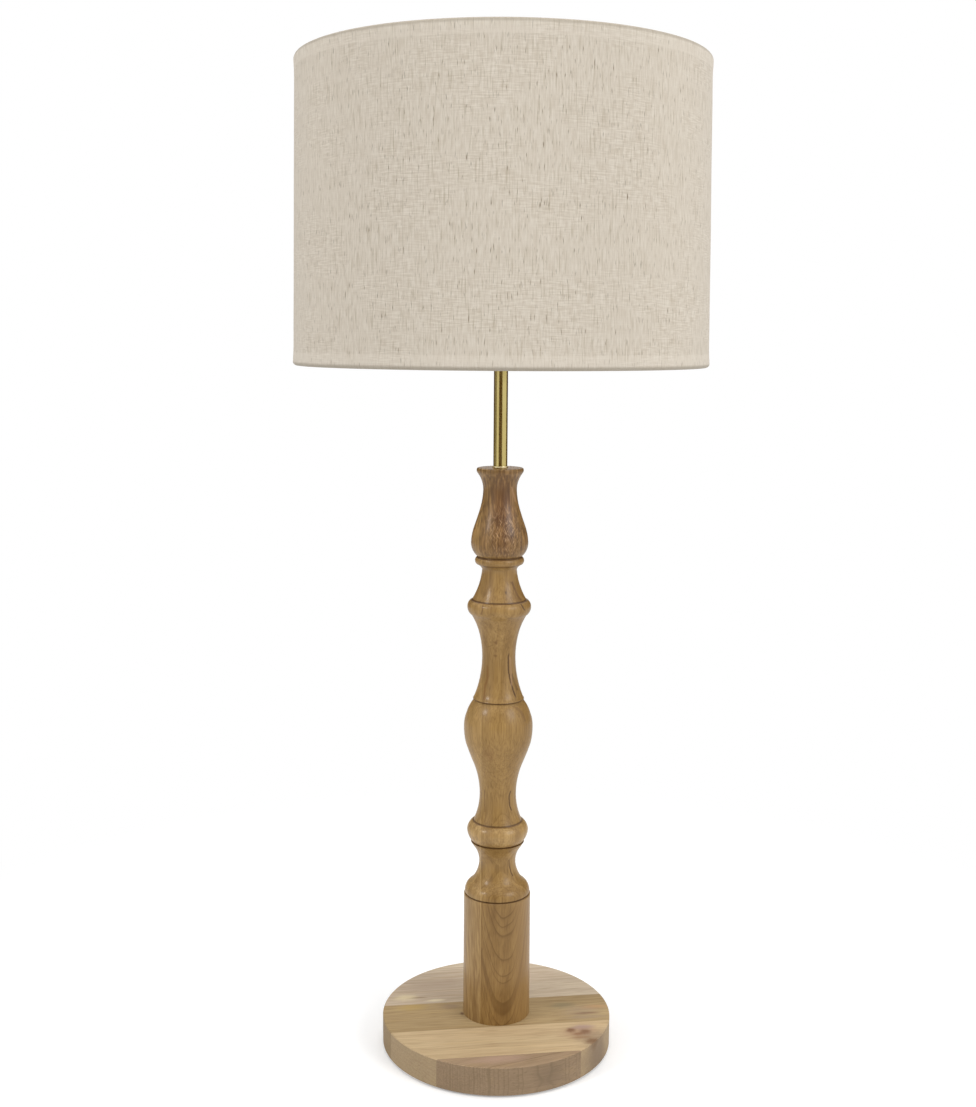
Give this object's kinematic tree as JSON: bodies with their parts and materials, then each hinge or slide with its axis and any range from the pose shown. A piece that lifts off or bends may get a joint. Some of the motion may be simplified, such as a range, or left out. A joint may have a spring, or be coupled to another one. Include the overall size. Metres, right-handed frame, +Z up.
{
  "type": "table lamp",
  "caption": "Table lamp with a turned wooden column on a round board base, a brass neck and a tapered linen drum shade held on a wire harp by a screw finial.",
  "frame": {"origin": "centre of the felt's underside, on the surface that the lamp stands on", "axes": "+Z up along the column and pipe, -Y towards the front, where the switch key points; +X to the right"},
  "size_m": [0.2999, 0.2998, 0.735],
  "materials": {
    "felt": "pressed brown felt, matt",
    "base_wood": "pale hardwood boards under a thin matt oil",
    "column_wood": "honey-brown hardwood, turned, satin lacquer",
    "bush": "moulded dark brown plastic",
    "zinc": "zinc-plated steel",
    "brass": "polished and lacquered brass",
    "fibre": "dark vulcanised fibre",
    "phenolic": "moulded black phenolic, satin",
    "nickel": "bright nickel-plated sheet",
    "opal_glass": "opal white glass, satin",
    "white_enamel": "white powder coat on steel wire",
    "liner": "white styrene sheet, satin",
    "linen": "natural slubbed linen weave, matt"
  },
  "bodies": {
    "root": {"felt_pad": "felt", "base_board_front": "base_wood", "base_board_middle": "base_wood", "base_board_centre": "base_wood", "base_board_back": "base_wood", "cord_bush": "bush", "base_washer": "zinc", "base_lock_washer": "zinc", "base_nut": "zinc", "column": "column_wood", "stand_pipe": "brass", "pipe_collar": "brass", "saddle_nut": "brass", "harp_saddle": "brass", "socket_cap": "brass", "cap_set_screw": "zinc", "socket_shell": "brass", "socket_sleeve": "fibre", "socket_core": "phenolic", "terminal_screws": "brass", "screw_shell": "brass", "centre_contact": "brass"},
    "switch": {"switch_shaft": "zinc", "switch_key": "phenolic"},
    "bulb_tip": {"bulb_tip": "nickel"},
    "bulb": {"bulb_insulator": "phenolic", "bulb_cap": "nickel", "bulb_glass": "opal_glass"},
    "harp": {"harp_wire": "brass", "harp_stud": "brass"},
    "harp_sleeve_left": {"harp_sleeve_left": "brass"},
    "harp_sleeve_right": {"harp_sleeve_right": "brass"},
    "shade": {"spider_hub": "white_enamel", "spider_arms": "white_enamel", "shade_top_ring": "white_enamel", "shade_bottom_ring": "white_enamel", "shade_liner": "liner", "shade_cloth": "linen"},
    "finial_ferrule": {"finial_ferrule": "brass"},
    "finial_ball": {"finial_ball": "brass"}
  },
  "joints": [
    {"name": "switch_turn", "type": "hinge", "parent": "root", "child": "switch", "pos_m": [0, -0.02, 0.5561], "axis": [0, -1, 0], "continuous": true},
    {"name": "bulb_rise", "type": "slide", "parent": "root", "child": "bulb_tip", "axis": [0, 0, 1], "range_m": [0, 0.0218]},
    {"name": "bulb_turn", "type": "hinge", "parent": "bulb_tip", "child": "bulb", "pos_m": [0, 0, 0.58], "axis": [0, 0, 1], "range_deg": [0, 2160]},
    {"name": "harp_lift", "type": "slide", "parent": "root", "child": "harp", "axis": [0, 0, 1], "range_m": [0, 0.03]},
    {"name": "harp_sleeve_left_lift", "type": "slide", "parent": "harp", "child": "harp_sleeve_left", "axis": [0, 0, 1], "range_m": [0, 0.014]},
    {"name": "harp_sleeve_right_lift", "type": "slide", "parent": "harp", "child": "harp_sleeve_right", "axis": [0, 0, 1], "range_m": [0, 0.014]},
    {"name": "shade_lift", "type": "slide", "parent": "harp", "child": "shade", "axis": [0, 0, 1], "range_m": [0, 0.24]},
    {"name": "finial_rise", "type": "slide", "parent": "shade", "child": "finial_ferrule", "axis": [0, 0, 1], "range_m": [0, 0.0113]},
    {"name": "finial_turn", "type": "hinge", "parent": "finial_ferrule", "child": "finial_ball", "pos_m": [0, 0, 0.72], "axis": [0, 0, 1], "range_deg": [0, 4320]}
  ],
  "couplings": [
    {"joint": "bulb_rise", "follows": "bulb_turn", "m_per_rad": 0.00057757},
    {"joint": "finial_rise", "follows": "finial_turn", "m_per_rad": 0.00014972}
  ]
}
